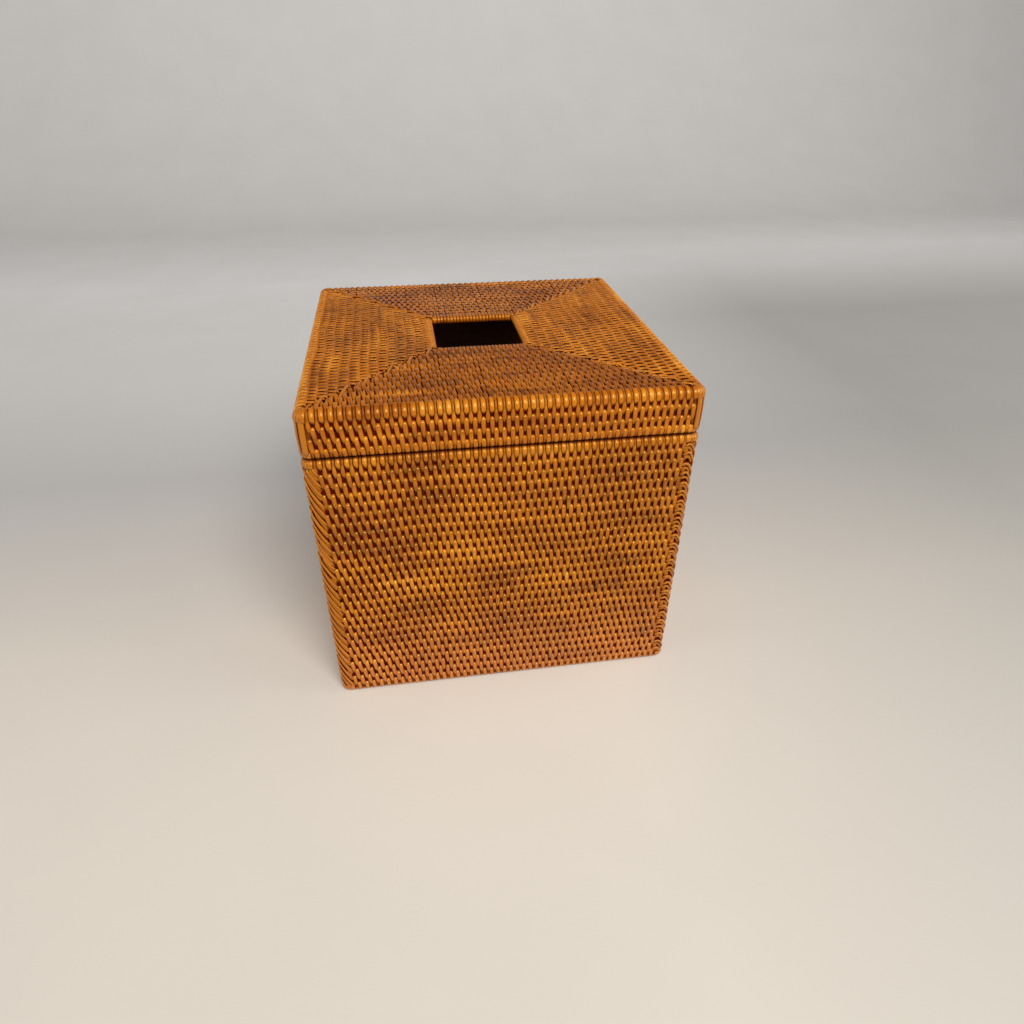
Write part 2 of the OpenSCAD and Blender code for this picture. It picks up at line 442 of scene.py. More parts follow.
# Painted light bounced up from the floor: paler and pinker towards the bottom, up to the height below, in
# metres
FLOOR_BOUNCE_LIGHT = (0.60, 0.178, 0.060, 1)
FLOOR_BOUNCE_TOP = 0.050
SPLINT_STOPS = (
    (0.25, (0.16, 0.052, 0.014)),
    (0.55, (0.34, 0.125, 0.028)),
    (0.85, (0.55, 0.24, 0.06)),
)
PEEL_GLOSS = 0.90
PEEL_GLOSS_TINT = (1.0, 0.70, 0.18, 1)
CANE_GLOSS = 0.03
# Depth of the fibres of peel and cane, in metres
GRAIN_DEPTH = 0.00010
# How fibres and finer streaks stretch along and across a strip, and what they add to its tone
FIBRE_STRETCH = (0.35, 7.0, 1.0)
FINE_STRETCH = (1.2, 22.0, 1.0)
FIBRE_TONE = 0.30
FINE_TONE = 0.14
BLOTCH_TONE = 0.08
# How dark a strip's edges are, painted shade between neighbouring strips, and how near the edge that starts
EDGE_PAINTED_SHADE = 0.36
EDGE_POWER = 5.0


def peel_paint(name, shade=0.0, floor_bounce=0.0, rose=0.0, warm=(1, 1, 1), inside=INSIDE_PAINTED_SHADE):
    """Lacquered rattan peel: fibres along each strip, tone by strand and row, painted shade in the crevices,
    on inner faces and along strip edges, and, where given, painted light bounced from the floor near the
    bottom.
    """
    paint = Paint(name)
    tint = paint.attribute("tint")
    channels = paint.put("SeparateColor", {"Color": tint.outputs["Color"]}).outputs
    grain = paint.attribute("grain").outputs["Vector"]
    place = paint.object_place()
    fibre = paint.noise(paint.stretch(grain, FIBRE_STRETCH), 1.0, 3.0, 0.6)
    fine = paint.noise(paint.stretch(grain, FINE_STRETCH), 1.0, 2.0, 0.6)
    blotch = paint.noise(place, 55.0, 3.0, 0.55)
    tone = paint.math("ADD", channels["Red"], shade)
    for pattern, weight in ((fibre, FIBRE_TONE), (fine, FINE_TONE), (blotch, BLOTCH_TONE)):
        tone = paint.math("MULTIPLY_ADD", paint.math("SUBTRACT", pattern, 0.5), weight, tone)
    stops = [(place_on, tuple(np.multiply(colour, warm))) for place_on, colour in PEEL_STOPS]
    colour = paint.ramp(tone, stops)
    patch = paint.noise(paint.stretch(place, (420, 420, 420)), 1.0, 1.0, 0.5)
    colour = paint.mix(paint.spread(patch, 0.45, 0.70, rose, 0.5 + rose / 2), colour, ROSE)
    # Painted light bounced from the floor, paler and pinker towards the bottom
    if floor_bounce:
        height = paint.put("SeparateXYZ", {"Vector": place}).outputs["Z"]
        low = paint.spread(height, 0.0, FLOOR_BOUNCE_TOP, floor_bounce, 0.0)
        colour = paint.mix(low, colour, FLOOR_BOUNCE_LIGHT)
    # Painted shade along each strip's edges, added to the painted shade of crevices and inner faces
    edge = paint.math("POWER", channels["Blue"], EDGE_POWER)
    dark = paint.math("MULTIPLY_ADD", edge, EDGE_PAINTED_SHADE, channels["Green"], clamp=True)
    colour = paint.mix(dark, colour, paint.mix(tint.outputs["Alpha"], inside, PAINTED_SHADE_COLOUR))
    roughness = paint.math("MULTIPLY_ADD", channels["Green"], 0.6, paint.spread(blotch, 0.3, 0.7, 0.22, 0.32))
    height = paint.math("MULTIPLY_ADD", fine, 0.5, fibre)
    paint.bump(height, 0.30, GRAIN_DEPTH)
    paint.set("Specular IOR Level", PEEL_GLOSS)
    paint.set("Specular Tint", PEEL_GLOSS_TINT)
    return finish_paint(paint, colour, roughness, 0.07, 0.12)


def cane_paint(name, light, dark):
    """Round cane, stained and dull: streaks along it, and darker where stain has pooled."""
    paint = Paint(name)
    place = paint.object_place()
    streak = paint.noise(paint.stretch(place, (900, 900, 180)), 1.0, 3.0, 0.6)
    blotch = paint.noise(place, 120.0, 3.0, 0.6)
    share = paint.math("MULTIPLY_ADD", streak, 0.6, paint.math("MULTIPLY", blotch, 0.5), clamp=True)
    colour = paint.ramp(share, ((0.30, dark), (0.75, light)))
    roughness = paint.spread(streak, 0.3, 0.7, 0.55, 0.80)
    paint.set("Specular IOR Level", CANE_GLOSS)
    paint.bump(streak, 0.3, GRAIN_DEPTH)
    return finish_paint(paint, colour, roughness, 0.0, 0.3)


def splint_paint(name):
    """Flat rattan splint of the collar: long level fibres and a thin lacquer."""
    paint = Paint(name)
    place = paint.object_place()
    fibre = paint.noise(paint.stretch(place, (60, 60, 2600)), 1.0, 3.0, 0.6)
    blotch = paint.noise(place, 70.0, 3.0, 0.6)
    share = paint.math("MULTIPLY_ADD", fibre, 0.7, paint.math("MULTIPLY", blotch, 0.35), clamp=True)
    colour = paint.ramp(share, SPLINT_STOPS)
    roughness = paint.spread(blotch, 0.3, 0.7, 0.38, 0.55)
    paint.bump(fibre, 0.4, 0.00015)
    return finish_paint(paint, colour, roughness, 0.2, 0.2)


# The body, bindings and lashings get painted floor bounce light near the bottom
BODY_PEEL = peel_paint("body_peel", floor_bounce=0.50)
LID_PEEL = peel_paint("lid_peel", shade=0.02, warm=WARM)
BINDING_PEEL = peel_paint("binding_peel", floor_bounce=0.25, rose=0.2)
LASHING_PEEL = peel_paint("lashing_peel", shade=0.05, floor_bounce=0.25, rose=0.35)
SEAM_PEEL = peel_paint("seam_peel", shade=0.04, rose=0.3)
# The floor weave's inward faces get a lighter painted shade
FLOOR_PEEL = peel_paint("floor_peel", inside=(0.16, 0.045, 0.008, 1))
# Rods near black, so that the gaps between strands read as deep shade: painted shade
ROD_CANE_DARK_AS_SHADE = cane_paint("rod_cane_dark_as_shade", (0.105, 0.0065, 0.0008), (0.050, 0.0024, 0.0003))
HOOP_CANE = cane_paint("hoop_cane", (0.20, 0.050, 0.006), (0.08, 0.015, 0.002))
COLLAR_SPLINT = splint_paint("collar_splint")

# Random drift of the weave
body_wave = Drift(BODY_ROWS + 1, 0.42, 2, 14, 0.93, 11)
lid_wave = Drift(LID_ROWS + 1, 0.30, 3, 15, 0.85, 12)
body_tone = Drift(BODY_ROWS + 1, 0.115, 0, 16, 0.35, 21)
lid_tone = Drift(LID_ROWS + 1, 0.115, 0, 16, 0.30, 22)
body_lean = Drift(BODY_ROWS + 1, 0.08, 1, 12, 0.6, 31)
lid_lean = Drift(LID_ROWS + 1, 0.09, 1, 12, 0.5, 32)
random = np.random.default_rng(5)

# A station holds a strand at one rod or hoop. Reach and height are the rod's centre. Angle, in degrees from
# straight out, points to the strand's outer side, and swing is how far it lies from the centre. Front is 1
# outside the rod and -1 inside it. Give is how much the row's wave moves it. Samples lead to the next one.
Station = namedtuple("Station", "reach height angle swing front row give width samples")
FRONT, WIDTH, SAMPLES = (Station._fields.index(field) for field in ("front", "width", "samples"))

# Least change of front that takes a strand through the weave, and not along one face of it
CROSSES = 0.9
# A strand that leaves the front of one rod for the back of the next sinks a little up to the knee, and then
# dives in behind the next rod. One that comes out does so at once, and its rounded head stands out over its
# neighbours. Shares are of the way between two rods.
KNEE = 0.68
DIVED = 0.92
DIP = 0.46
DIVE_SHARES = np.array([0, 0.34, 0.66, 0.77, 0.88])
RISE_SHARES = np.array([0, 0.10, 0.17, 0.25, 0.34, 0.44])
HEAD_START = 0.03
HEAD = 0.33
# Painted highlight on the head of a stitch that comes out
HEAD_PAINTED_HIGHLIGHT = 0.15
# Where on that way a strand has swerved sideways most
SWERVED = 0.72


def dive(share):
    """From 1 on the front of a rod to -1 behind the next, for the share of the way between them."""
    near = 1 - DIP * (np.minimum(share, KNEE) / KNEE) ** 2
    return near - (2 - DIP) * smooth(KNEE, DIVED, share)


def rise(share):
    """From -1 behind a rod to 1 on the front of the next, for the share of the way between them."""
    return 2 * np.clip((share - HEAD_START) / (HEAD - HEAD_START), 0, 1) ** 0.75 - 1


def follow(stations):
    """The strand's line through its stations, with how far it swerves sideways and its painted shading: shade
    growing towards a stitch's tail, a painted highlight at its head.
    """
    table = np.array(stations, float)
    pieces = []
    for here, there in zip(table, table[1:]):
        change = there[FRONT] - here[FRONT]
        diving = change < 0
        size = abs(change) / 2
        crossing = abs(change) > CROSSES
        if crossing:
            share = DIVE_SHARES if diving else RISE_SHARES
        else:
            share = np.arange(int(here[SAMPLES])) / here[SAMPLES]
        line = here + (there - here) * share[:, None]
        if crossing:
            middle = (here[FRONT] + there[FRONT]) / 2
            line[:, FRONT] = middle + size * (dive(share) if diving else rise(share))
        gone = share if diving else 1 - share
        swerve = -change / 2 * np.minimum(gone / SWERVED, (1 - gone) / (1 - SWERVED))
        # Painted shade grows towards a diving stitch's tail, and a rising stitch gets a painted highlight at
        # its head
        if diving:
            painted_stitch_shading = size * smooth(0.2, 0.85, share)
            line[:, WIDTH] += size * (TAIL_WIDTH - WIDE) * smooth(0.25, 0.75, share)
        else:
            painted_stitch_shading = -size * HEAD_PAINTED_HIGHLIGHT * (1 - smooth(0.3, 0.7, share))
            line[:, WIDTH] += size * (HEAD_WIDTH - WIDE) * smooth(0.05, 0.25, share)
        pieces.append(np.column_stack([line, swerve, painted_stitch_shading]))
    pieces.append(np.append(table[-1], [0, 0])[None])
    return np.concatenate(pieces)


# How far a strand runs on out of sight, below the rim and above the skirt's hoop
RIM_TAIL = 8
SKIRT_TAIL = 4
# Outwardness at which a strand gets full painted shade, going in behind a rod or facing inwards, and at which
# it has none
SHADE_OUTWARDNESS = (-0.45, 0.15)
BODY_TONE = 0.525
WANDER = 0.10
STITCH_TONE = 0.05
# How much the painted shade and highlight along a stitch change its tone, and how much the shade darkens its
# tail
STITCH_SHADING_TONE = 0.11
STITCH_TAIL_SHADE = 0.16
# Most painted shade, where a strand lies furthest in or faces inwards
MOST_PAINTED_SHADE = 0.95
LOOSER = 0.07
TUCK = 0.9
TUCK_PLACES = (CORNER_HALF - 3.4, CORNER_HALF - 1.6)
# Painted shade on the lid's top rows, for how the light falls on the top
TOP_PAINTED_SHADE = -0.08
# Painted highlight on strands over bends and hoops, half as much on the skirt
BEND_PAINTED_HIGHLIGHT = 0.19
# Angles over the rim's bend past which strands get painted shade, where the lid's skirt shades the rim
SEAM_SHADE_ANGLES = np.radians([46, 68])
# How far strands lean, least and most, and how fast that grows towards the left
LEAST_LEAN = 0.03
MORE_LEAN = 0.36
LEAN_POWER = 1.6
STRAND_TONE = 0.02
WIDTH_SPREAD = 0.03
# Width of a strip's tucked end as a share of its own, and that of a thin strip
TIP = 0.6
THIN_TIP = 0.5


def facing_frame(side):
    """Rightward and outward direction of a side."""
    angle = side * QUARTER_TURN
    return np.array([math.cos(angle), math.sin(angle), 0]), np.array([math.sin(angle), -math.cos(angle), 0])


def lay_strand(batch, side, right, stations, wave, tone, lean, base_tone, tucked=0, top_rows=0):
    """Sweeps one strand of peel through its stations, right of the middle of a side.

    Tucked, from 0 to 1, draws it in under a corner's lashing, and darkens it with painted shade where it goes
    up into the seam under the lid.
    Its first rows, as many as top_rows, are darker with painted shade.
    """
    line = follow(stations)
    reach, height, angle, swing, front, row, give, width, _, swerve, painted_stitch_shading = line.T
    along = side * COVER.quarter + COVER.half + right + 0 * reach
    angle = np.radians(angle)
    shift = wave.at(row, along) * give
    out = reach + swing * front * np.cos(angle) + shift * np.sin(angle)
    up = height + swing * front * np.sin(angle) - shift * np.cos(angle)
    left_share = (COVER.half - right) / COVER.side
    tilt = LEAST_LEAN + MORE_LEAN * left_share**LEAN_POWER + lean.at(row, along)
    wander = random.normal(scale=WANDER)
    wander = wander + WANDER * np.sin(row * random.uniform(0.4, 1.3) + random.uniform(0, 6))
    across = right + tilt * swerve + wander * np.clip(give, 0, 1)
    out -= TUCK * smooth(*TUCK_PLACES, abs(right)) * np.clip(give, 0, 1) * tucked
    rightward, outward = facing_frame(side)
    path = across[:, None] * rightward + out[:, None] * outward + up[:, None] * UPWARD
    turn_out = np.gradient(out)
    turn_up = np.gradient(up)
    normal = unit(-turn_up[:, None] * outward + turn_out[:, None] * UPWARD)
    stitch = np.round(row).astype(int)
    stitch_tone = random.normal(scale=STITCH_TONE, size=stitch.max() - min(stitch.min(), 0) + 2)[stitch]
    shade = base_tone + tone.at(np.round(row), along) + stitch_tone + random.normal(scale=STRAND_TONE)
    # Painted shade where the strand goes in behind a rod or faces inwards, and towards each stitch's tail
    outwardness = np.minimum(front, 2 * np.maximum(np.cos(angle), np.sin(angle)) - 1)
    painted_shade = np.maximum(1 - smooth(*SHADE_OUTWARDNESS, outwardness), STITCH_TAIL_SHADE * painted_stitch_shading) * MOST_PAINTED_SHADE
    # Painted shade where the strand goes up under the lid
    painted_shade = np.maximum(painted_shade, tucked * smooth(*SEAM_SHADE_ANGLES, angle))
    # Painted shade on strands sunk between the bars over a hoop
    sunk = (1 - np.clip(2 * give, 0, 1)) * smooth(0, 1 - SUNK_FRONT, 1 - front) * (front > 0)
    painted_shade = np.maximum(painted_shade, SUNK_PAINTED_SHADE * sunk)
    # Painted shade on the lid's top rows and along stitch tails, painted highlight on stitch heads
    shade += np.where(row < top_rows, TOP_PAINTED_SHADE, 0) - STITCH_SHADING_TONE * painted_stitch_shading
    # Painted highlight over bends and hoops
    shade += BEND_PAINTED_HIGHLIGHT * (1 - np.clip(give, 0, 1))
    # How far the strand faces inwards, where the darker inside painted shade is used
    inside = smooth(0.3, 0.9, -outwardness)
    widths = width * (1 + random.normal(scale=WIDTH_SPREAD))
    widths[[0, -1]] *= TIP
    batch.sweep(path, normal, widths / 2, PEEL, shade, painted_shade, inside)


def strand_places():
    """How far right of the middle each strand of a side lies. They are a little looser at the left."""
    share = (np.arange(STRANDS) + 0.5) / STRANDS
    return CORNER_HALF * (2 * share - 1 + 2 * LOOSER * share * (1 - share))


def side_of_rod(row, parity):
    return 1 if (row + parity) % 2 == 0 else -1


def hold(row, parity):
    """Whether a strand stands out or lies sunk where it goes over a hoop, and how wide it is there."""
    return (1, BAR) if side_of_rod(row, parity) > 0 else (SUNK_FRONT, SUNK)


def body_stations(parity):
    """Tail inside, over the rim hoop, down through every row, and round the base hoop."""
    rim_swing = RIM.radius + HOOP_GAP
    base_swing = BASE.radius + HOOP_GAP
    front, width = hold(-1, parity)
    stations = [
        Station(RIM.reach, RIM.height - RIM_TAIL, 180, rim_swing, 1, 0, 0, TIGHT, 2),
        Station(RIM.reach, RIM.height, 180, rim_swing, 1, 0, 0, TIGHT, 3),
        Station(RIM_BEND.reach, RIM_BEND.height, 85, RIM_ROUND, front, 0, 0, width, 5),
        Station(RIM_BEND.reach, RIM_BEND.height, 0, RIM_ROUND, front, 0, 0, width, 4),
    ]
    for row, height in enumerate(BODY_HEIGHTS):
        front = side_of_rod(row, parity)
        stations.append(Station(WALL_MID, height, 0, WALL_SWING, front, row, 1, WIDE, 5))
    front = side_of_rod(BODY_ROWS, parity)
    last_angle = -150 if front > 0 else 70
    stations.append(Station(BASE.reach, BASE.height, 0, base_swing, front, BODY_ROWS, 0, WIDE, 5))
    stations.append(Station(BASE.reach, BASE.height, last_angle, base_swing, front, BODY_ROWS, 0, TIGHT, 1))
    return stations


def weave_body():
    """Four walls of plain weave, each strand wrapped over the rim."""
    for side, name in enumerate(SIDES):
        batch = Batch()
        for index, right in enumerate(strand_places()):
            stations = body_stations(index % 2)
            lay_strand(batch, side, right, stations, body_wave, body_tone, body_lean, BODY_TONE, 1)
        batch.build(f"{name}_wall_weave", "basket", BODY_PEEL, [f"{name}_wall"])


def opening_of(side):
    """Where the opening lies as a side sees it: its middle to the right, and its near edge outwards."""
    rightward, outward = facing_frame(side)
    return RING_CENTRE[:2] @ rightward[:2], RING_CENTRE[:2] @ outward[:2] + OPENING_HALF


def mitre_share(side, right):
    """How far from the opening to the cover's edge, as a share, two top panels meet, right of the middle."""
    middle = opening_of(side)[0]
    if right > middle:
        return (right - middle - OPENING_HALF) / (COVER_HALF - middle - OPENING_HALF)
    return (middle - OPENING_HALF - right) / (COVER_HALF + middle - OPENING_HALF)


def top_shares():
    """Places of the top's rods between the opening's edge and the cover's edge."""
    depth = COVER_HALF - OPENING_HALF
    return np.linspace(FIRST_TOP_ROW, depth - LAST_TOP_ROW, TOP_ROWS) / depth


SEAM_GAP = 0.9
# Least way from a strand's start to the first rod that it crosses
FIRST_STEP = 1.2
# Tone of each side of the lid, front, right, back and left; the front and back are darker, painted shade for
# how the light falls on them
LID_TONES_AND_SIDE_SHADE = (0.49, 0.62, 0.49, 0.61)
TOP_SWINGS = (1.0, 1.0, 0.72, 1.0)


def lid_stations(side, right, parity):
    """From the opening or the seam, over the top's rods, over the edge and down the skirt to its hoop."""
    edge = opening_of(side)[1]
    depth = COVER_HALF - edge
    top_swing = TOP_SWING * TOP_SWINGS[side]
    seam = mitre_share(side, right)
    start = edge + max(seam * depth + SEAM_GAP, 2 * RING.radius)
    stations = []
    if seam < 0:
        stations.append(Station(start, TOP_MID, 90, top_swing, 0.85, 0, 0, TIGHT, 2))
    for row, share in enumerate(top_shares()):
        reach = edge + share * depth
        if reach > start + FIRST_STEP:
            front = side_of_rod(row, parity)
            if not stations:
                stations.append(Station(start, TOP_MID, 90, top_swing, 0.3 - 0.5 * front, row, 0.5, TIGHT, 2))
            stations.append(Station(reach, TOP_MID, 90, top_swing, front, row, 1, WIDE, 4))
    hoop_swing = SKIRT_HOOP.radius + HOOP_GAP
    if not stations:
        stations.append(Station(start, TOP_MID, 90, top_swing, 0.2, TOP_ROWS, 0.5, TIGHT, 2))
    front, width = hold(TOP_ROWS, parity)
    stations.append(Station(EDGE_BEND.reach, EDGE_BEND.height, 80, EDGE_ROUND, front, TOP_ROWS, 0, width, 6))
    stations.append(Station(EDGE_BEND.reach, EDGE_BEND.height, 0, EDGE_ROUND, front, TOP_ROWS, 0, width, 3))
    for row, height in enumerate(SKIRT_HEIGHTS, TOP_ROWS + 1):
        front = side_of_rod(row, parity)
        stations.append(Station(SKIRT_MID, height, 0, SKIRT_SWING, front, row, 0.5, WIDE, 5))
    front, width = hold(LID_ROWS, parity)
    reach, height, _ = SKIRT_HOOP
    stations.append(Station(reach, height, 0, hoop_swing, front, LID_ROWS, 0, width, 6))
    stations.append(Station(reach, height, -180, hoop_swing, 1, LID_ROWS, 0, TIGHT, 2))
    stations.append(Station(reach, height + SKIRT_TAIL, -180, hoop_swing, 1, LID_ROWS, 0, TIGHT, 1))
    return stations


def weave_lid():
    """Four sides of the lid: each strand runs over the top, the edge and the skirt in one piece."""
    for side, name in enumerate(SIDES):
        batch = Batch()
        for index, right in enumerate(strand_places()):
            stations = lid_stations(side, right, index % 2)
            # Each side's tone, with painted shade on the front and back
            tone = LID_TONES_AND_SIDE_SHADE[side]
            lay_strand(batch, side, right, stations, lid_wave, lid_tone, lid_lean, tone, 0, TOP_ROWS)
        batch.build(f"{name}_lid_weave", "lid", LID_PEEL, [f"{name}_top", f"{name}_skirt"])


ROD_STEP = 3.0


def core_rods():
    """Level flattened rods that the strands pass over and under, in the walls, the skirt and the top."""
    along = np.arange(0, COVER.length, ROD_STEP)
    body = Batch(ROD_SECTION)
    for row, height in enumerate(BODY_HEIGHTS):
        path, outward = COVER.at(along, WALL_MID)
        path[:, 2] = height - body_wave.at(row + 0 * along, along)
        body.sweep(path, outward, ROD_RISE, ROD_RADIUS, 0.5, 0, closed=True)
    body.build("basket_core_rods", "basket", ROD_CANE_DARK_AS_SHADE)
    lid = Batch(ROD_SECTION)
    for row, height in enumerate(SKIRT_HEIGHTS):
        path, outward = COVER.at(along, SKIRT_MID)
        path[:, 2] = height - lid_wave.at(TOP_ROWS + 1 + row + 0 * along, along) / 2
        lid.sweep(path, outward, LID_ROD_RISE, LID_ROD_RADIUS, 0.5, 0, closed=True)
    for row, share in enumerate(top_shares()):
        half = OPENING_HALF + share * (COVER_HALF - OPENING_HALF)
        outline = Outline(RING_CENTRE * (1 - share), half - OPENING_CORNER, OPENING_CORNER)
        along = np.linspace(0, outline.length, int(outline.length / ROD_STEP), endpoint=False)
        path, outward = outline.at(along, half)
        path += outward * lid_wave.at(row + 0 * along, along / outline.length * COVER.length)[:, None]
        path[:, 2] = TOP_MID
        lid.sweep(path, UPWARD, TOP_ROD_RISE, LID_ROD_RADIUS, 0.5, 0, closed=True)
    lid.build("lid_core_rods", "lid", ROD_CANE_DARK_AS_SHADE)


def wrap_hoop(batch, outline, hoop, along, start, end, slant=0.6, tone=0.55, width=TIGHT, samples=12):
    """One turn of peel round a hoop, from one angle to another, in degrees from straight out."""
    angle = np.radians(np.linspace(start, end, samples))
    swing = hoop.radius + HOOP_GAP
    place, outward = outline.at(along + slant * np.linspace(-0.5, 0.5, samples), hoop.reach)
    radial = outward * np.cos(angle)[:, None] + UPWARD * np.sin(angle)[:, None]
    path = place + radial * swing
    path[:, 2] += hoop.height
    outer = 1 if outline is COVER else -1
    # Painted shade where the turn faces inwards or down
    shown = np.maximum(outer * np.cos(angle), np.sin(angle))
    painted_shade = (1 - smooth(-0.2, 0.4, shown)) * MOST_PAINTED_SHADE
    # Painted shade where the rim's wrap goes up under the lid
    if hoop is RIM_BEND:
        painted_shade = np.maximum(painted_shade, smooth(*SEAM_SHADE_ANGLES, angle))
    widths = np.full(samples, width * (1 + random.normal(scale=0.04)))
    widths[[0, -1]] *= TIP
    batch.sweep(path, radial, widths / 2, PEEL, tone + random.normal(scale=0.06), painted_shade)


CORNER_STRIPS = 4
CORNER_STRIP_WIDTH = 1.95


def corner_wraps(batch, hoop, start, end):
    """Turns of peel that carry a hoop's wrap round the four corners."""
    for corner in range(4):
        first = corner * COVER.quarter + COVER.side
        for place in (np.arange(CORNER_STRIPS) + 0.5) / CORNER_STRIPS * COVER.arc:
            wrap_hoop(batch, COVER, hoop, first + place, start, end, 0, 0.55, CORNER_STRIP_WIDTH)


# Two places of a strand past the opening's hoop: how far out, and how much lower
LEAD_OUT = np.array([1.2, 2 * RING.radius + 0.9])
LEAD_DOWN = np.array([0.05, 0.55])


def wrap_opening(batch):
    """Strands of the top panels, turned over the opening's hoop and tucked in below it."""
    swing = RING.radius + HOOP_GAP
    angle = np.radians(np.linspace(280, 90, 9))
    normal_out = np.append(np.cos(angle), [0, 0])
    normal_up = np.append(np.sin(angle), [1, 1])
    # Painted shade where a turn faces into the opening or down
    painted_shade = (1 - smooth(-0.4, 0.5, np.maximum(-normal_out, normal_up))) * MOST_PAINTED_SHADE
    up = RING.height + np.append(swing * np.sin(angle), swing - LEAD_DOWN)
    for side in range(4):
        rightward, outward = facing_frame(side)
        middle, edge = opening_of(side)
        hoop = edge - OPENING_HALF + RING.reach
        out = hoop + np.append(swing * np.cos(angle), LEAD_OUT)
        normal = normal_out[:, None] * outward + normal_up[:, None] * UPWARD
        for right in strand_places():
            if abs(right - middle) < OPENING_HALF:
                path = right * rightward + out[:, None] * outward + up[:, None] * UPWARD
                # The side's tone, with its painted shade
                tone = LID_TONES_AND_SIDE_SHADE[side] + random.normal(scale=0.04)
                widths = np.full(len(path), TIGHT * (1 + random.normal(scale=0.03)))
                batch.sweep(path, normal, widths / 2, PEEL, tone, painted_shade)


def wrap_base(batch):
    """Turns of peel under the base, where every second strand stops short of it."""
    for side in range(4):
        for index, right in enumerate(strand_places()):
            if side_of_rod(BODY_ROWS, index % 2) < 0:
                along = side * COVER.quarter + COVER.half + right
                wrap_hoop(batch, COVER, BASE, along, -25, -165, 0, 0.45, TIGHT, 7)


def bind_hoops():
    """Peel round the rim, the base, the lid's edge, the skirt's hoop and the opening."""
    for name, body, hoop, start, end, material in (
        ("rim_binding", "basket", RIM_BEND, 170, -40, BINDING_PEEL),
        ("base_binding", "basket", BASE, 40, -170, BODY_PEEL),
        ("edge_binding", "lid", EDGE_BEND, 110, -20, BINDING_PEEL),
        ("skirt_binding", "lid", SKIRT_HOOP, 60, -200, BINDING_PEEL),
    ):
        batch = Batch()
        if hoop is BASE:
            wrap_base(batch)
        corner_wraps(batch, hoop, start, end)
        batch.build(f"{name}_wraps", body, material, [name])
    ring = Batch()
    wrap_opening(ring)
    for corner in range(4):
        first = corner * OPENING.quarter + OPENING.side
        for place in (0.25, 0.75):
            wrap_hoop(ring, OPENING, RING, first + place * OPENING.arc, 280, 70)
    ring.build("opening_binding_wraps", "lid", LID_PEEL, ["opening_binding"])


LASHING_REACH = 2.2
LASHING_WIDTH = 1.22
LASHING_FALL = 11.5
LASHING_TONE = 0.56
LASHING_HUMP = 1.3
LASHING_SAMPLES = 19
# Shares of a strip's way: where its hump ends, and how much is tucked in at each end
HUMP_END = 0.45
TUCKED_END = 0.10
CHANCE_DEPTH = 0.25
# The second strip of a pair: how many rows lower it lies, and how much deeper
LASHING_PAIR = 0.43
LASHING_SUNK = 0.38
# How deep a strip is tucked in at its start, at its end and up in the seam below the lid
START_TUCK = 1.1
END_TUCK = 1.5
SEAM_TUCK = 2.4


def corner_strip(batch, corner, top, sunk):
    """One strip round an upright corner: it humps over its start, falls round it and is tucked in below."""
    share = np.linspace(0, 1, LASHING_SAMPLES)
    first = corner * COVER.quarter + COVER.side + random.normal(scale=0.2)
    beyond = (COVER.arc + 2 * LASHING_REACH) * share - LASHING_REACH
    hump = LASHING_HUMP * random.uniform(0.7, 1.3) * np.sin(math.pi * np.minimum(share / HUMP_END, 1))
    corner_radius = COVER_HALF - CORNER_HALF
    turned = np.clip(beyond / COVER.arc, 0, 1) * QUARTER_TURN
    passed = corner_radius * (1 - np.cos(turned)) + np.clip(beyond - COVER.arc, 0, None)
    height = top + hump - LASHING_FALL * passed / (corner_radius + LASHING_REACH)
    tuck = START_TUCK * (1 - smooth(0, TUCKED_END, share)) + END_TUCK * (1 - smooth(0, TUCKED_END, 1 - share))
    tuck += sunk + random.uniform(0, CHANCE_DEPTH)
    tuck = np.maximum(tuck, SEAM_TUCK * smooth(-1.0, 0.6, height - WALL_HIGH[2]))
    path, outward = COVER.at(first + beyond, COVER_HALF - DOME * PEEL - tuck)
    path[:, 2] = height
    keep = (height > BASE.height) & (height < RIM.height)
    # Painted shade where the strip is tucked in under the weave and up under the lid
    painted_shade = np.clip(0.6 * tuck - 0.12, 0, 0.9)
    widths = np.full(len(share), LASHING_WIDTH * (1 + random.normal(scale=0.10)))
    widths[[0, -1]] *= THIN_TIP
    if keep.sum() > 2:
        tone = LASHING_TONE + random.normal(scale=0.07)
        batch.sweep(path[keep], outward[keep], widths[keep] / 2, PEEL, tone, painted_shade[keep])


# Strips down a corner of the lid: place on the corner's arc, depth, and painted shade on the deeper ones
FALLS = ((-0.03, 0.8, 0.85), (0.25, 0.0, 0.0), (0.50, 0.6, 0.8), (0.74, 0.0, 0.0), (1.03, 0.8, 0.85))
FALL_SAMPLES = 9
FALL_WAIST = 0.25
FALL_WIDTH = 2.6
FALL_TONE = 0.50


def corner_fall(batch, along, depth, painted_shade):
    """A strip straight down a corner of the lid, from edge to hoop, as deep and as darkened by painted shade
    as given.
    """
    height = np.linspace(EDGE.height, SKIRT_HOOP.height, FALL_SAMPLES)
    share = np.linspace(0, 1, FALL_SAMPLES)
    waist = FALL_WAIST * (1 - np.sin(math.pi * share))
    path, outward = COVER.at(along + 0 * share, COVER_HALF - DOME * PEEL - waist - depth)
    path[:, 2] = height
    widths = np.full(FALL_SAMPLES, FALL_WIDTH * (1 + random.normal(scale=0.04)))
    batch.sweep(path, outward, widths / 2, PEEL, FALL_TONE + random.normal(scale=0.05), painted_shade)


